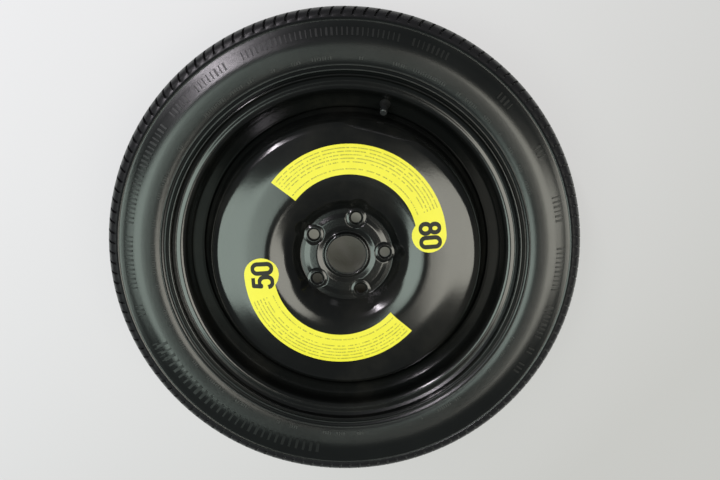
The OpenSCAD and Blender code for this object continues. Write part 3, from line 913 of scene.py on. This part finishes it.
def number_piece(name, text, centre, degrees, middle):
    """Plain stroked digits across a label's round end, bent to the dome."""
    bm = bmesh.new()
    for k, digit in enumerate(text):
        shift_x = (k - (len(text) - 1) / 2) * DIGIT_STEP
        for lift, line in enumerate(DIGITS[digit]):
            line = spaced(line, 1.5)
            n = normals_of(line)
            if np.allclose(line[0], line[-1]):
                n[0] = n[-1] = (n[0] + n[-1]) / np.linalg.norm(n[0] + n[-1])
            half_w = 2.5 + 0.6 * np.abs(n[:, :1])  # upright strokes are thicker
            rows = []
            for side_of in (-1, 0, 1):
                q = line * DIGIT_SCALE + n * half_w * side_of
                flat_q = np.stack([q[:, 1] + middle[0], -(q[:, 0] + shift_x) + middle[1]], 1)
                q = placed(flat_q, centre, degrees)
                z = dome_height(q[:, 0], q[:, 1]) + NUMBER_LIFT + 0.01 * lift
                rows.append([bm.verts.new(Vector((x, y, h)) * MM) for (x, y), h in zip(q, z)])
            for low, high in zip(rows[:-1], rows[1:]):
                for i in range(len(low) - 1):
                    bm.faces.new((low[i], low[i + 1], high[i + 1], high[i]))
    bm.normal_update()
    for f in bm.faces:
        if f.normal.z < 0:
            f.normal_flip()
    mesh = bpy.data.meshes.new(name)
    bm.to_mesh(mesh)
    bm.free()
    mesh.materials.append(ink_material)
    return stand(name, mesh)


for name, text, node, middle in (("upper_number", "80", "upper_label", (112.6, 0.6)),
                                 ("lower_number", "50", "lower_label", (110.0, 0.9))):
    centre, degrees = LABEL_PLACES[node]
    piece = number_piece(name, text, centre, degrees, middle)
    show(piece, "wheel", "label_film")

# %% [markdown]
# What remains of the CAD nodes is right as it is and only takes its finish.

# %% Finishes on the CAD nodes
FINISHES = {
    "disc_welds": weld_metal, "valve_rubber": valve_black, "valve_stem": brass,
    "valve_cap": cap_plastic, "core_plug": brass, "core_barrel": brass, "core_gasket": seal_red,
    "core_pin": steel, "core_cup": brass, "core_cup_seal": valve_black, "core_spring": steel}
for node, material in FINISHES.items():
    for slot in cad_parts[node].material_slots:
        slot.material = material
print("finished", len(FINISHES), "nodes")

# %% [markdown]
# Pressing the core's pin squeezes its spring. The spring is a copy of the CAD coil, which is hidden.

# %% Core spring
cad_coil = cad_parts["core_spring"]
coil_mesh = cad_coil.data.copy()
coil_mesh.transform(cad_coil.matrix_world)
coil = stand("wound_spring", coil_mesh)
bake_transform(coil)
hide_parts("core_spring")

# %% [markdown]
# The studio: a pale floor under the wheel and two wide soft lamps at the left and the right, which
# the black dome mirrors. A slim panel lengthens the left one's reflection towards the hub, and a
# narrow window at the upper left gives the bright crescents. A low window far behind draws the edge
# of the flat beside the valve. The camera alone sees a pale backdrop.

# %% Floor
FLOOR_Z, FLOOR_HALF = cad_box[0][2] - 0.0004, 6
floor_mesh = bpy.data.meshes.new("floor")
floor_corners = [(x * FLOOR_HALF, y * FLOOR_HALF, FLOOR_Z)
                 for x, y in ((-1, -1), (1, -1), (1, 1), (-1, 1))]
floor_mesh.from_pydata(floor_corners, [], [(0, 1, 2, 3)])
floor = stand("floor", floor_mesh)
floor_material, floor_tree, floor_shader = finish_of(
    "pale_floor", Base_Color=(0.80, 0.80, 0.81), Roughness=0.9)
floor_mesh.materials.append(floor_material)


def paler_to_the_camera(tree, shader):
    """Lets the camera see the floor paler than it lights the wheel, with painted shade beneath the
    wheel and a painted falloff of light across the floor.
    """
    x, y, radius = plan_of(tree, place_of(tree))
    # Painted shade: beneath the wheel the floor is dark, lighter towards +y, and darker still within
    # the bore's radius.
    outside = ramp(tree, radius, 0.18, 0.30)
    lit = ((y + 0.085) / 0.12).clamped()
    painted_shade_beneath = colour_mix(tree, lit, (0.008, 0.007, 0.005), (0.21, 0.21, 0.175))
    painted_bore_shade = ramp(tree, radius, 0.052, 0.036, top=0.62)
    painted_shade_beneath = colour_mix(tree, painted_bore_shade, painted_shade_beneath, (0.022, 0.019, 0.012))
    # Painted falloff of light: the pale floor is darker towards +x and -y.
    painted_falloff = (0.45 - x * 0.55 + y * 0.50).clamped()
    pale = colour_mix(tree, painted_falloff, (0.55, 0.55, 0.53), (0.88, 0.875, 0.895))
    pale = colour_mix(tree, outside, painted_shade_beneath, pale)
    glow = add(tree, "ShaderNodeEmission", None, {"Color": pale})
    eye = add(tree, "ShaderNodeLightPath")
    mixed = add(tree, "ShaderNodeMixShader", None, {
        0: eye * 0.8, 1: Value(tree, shader.outputs[0]), 2: glow})
    out = next(n for n in tree.nodes if n.type == "OUTPUT_MATERIAL")
    tree.links.new(mixed.socket, out.inputs[0])


paler_to_the_camera(floor_tree, floor_shader)
print("floor at", round(FLOOR_Z, 4))


# %% Lamps
def soft_lamp(name, place, size, radiance, colour, aim=None):
    """A rectangular lamp that hangs level unless it has an aim. Its power follows from its area."""
    data = bpy.data.lights.new(name, "AREA")
    data.shape = "RECTANGLE"
    data.size, data.size_y = size
    data.energy = radiance * math.pi * size[0] * size[1]
    data.color = colour
    lamp = stand(name, data)
    lamp.location = place
    if aim:
        lamp.rotation_euler = (Vector(aim) - Vector(place)).to_track_quat("-Z", "Y").to_euler()
    return lamp


GREENISH = (0.84, 1.0, 0.90)
soft_lamp("left_panel", (-0.92, -0.30, 1.6), (1.10, 0.80), 5.6, GREENISH)
soft_lamp("left_edge", (-0.28, -0.21, 1.6), (0.18, 0.58), 3.8, GREENISH)
soft_lamp("right_panel", (0.87, -0.20, 1.6), (1.26, 0.76), 5.8, (1.0, 0.98, 0.86))
window = soft_lamp("upper_left_window", (-0.96, 1.05, 1.6), (1.3, 0.09), 50, (1.0, 0.93, 1.0))
window.rotation_euler = (0, 0, math.radians(123.9))
soft_lamp("low_window", (0.9, 3.0, 0.36), (0.5, 0.17), 1.8, (1.0, 0.98, 1.0), aim=(0, 0, 0))

# %% World
world = bpy.data.worlds.new("studio")
scene.world = world
world.use_nodes = True
world_tree = world.node_tree
background = next(n for n in world_tree.nodes if n.type == "BACKGROUND")
background.inputs["Color"].default_value = (0.92, 0.96, 1.0, 1)
background.inputs["Strength"].default_value = 0.12
wall = world_tree.nodes.new("ShaderNodeBackground")
wall.inputs["Color"].default_value = (0.80, 0.80, 0.81, 1)
eye = add(world_tree, "ShaderNodeLightPath")
backdrop = add(world_tree, "ShaderNodeMixShader", None, {
    0: eye, 1: Value(world_tree, background.outputs[0]), 2: Value(world_tree, wall.outputs[0])})
world_out = next(n for n in world_tree.nodes if n.type == "OUTPUT_WORLD")
world_tree.links.new(backdrop.socket, world_out.inputs[0])
scene.view_settings.view_transform = "Standard"
print("world strength", round(background.inputs["Strength"].default_value, 3))

# %% Update the scene
bpy.context.view_layer.update()
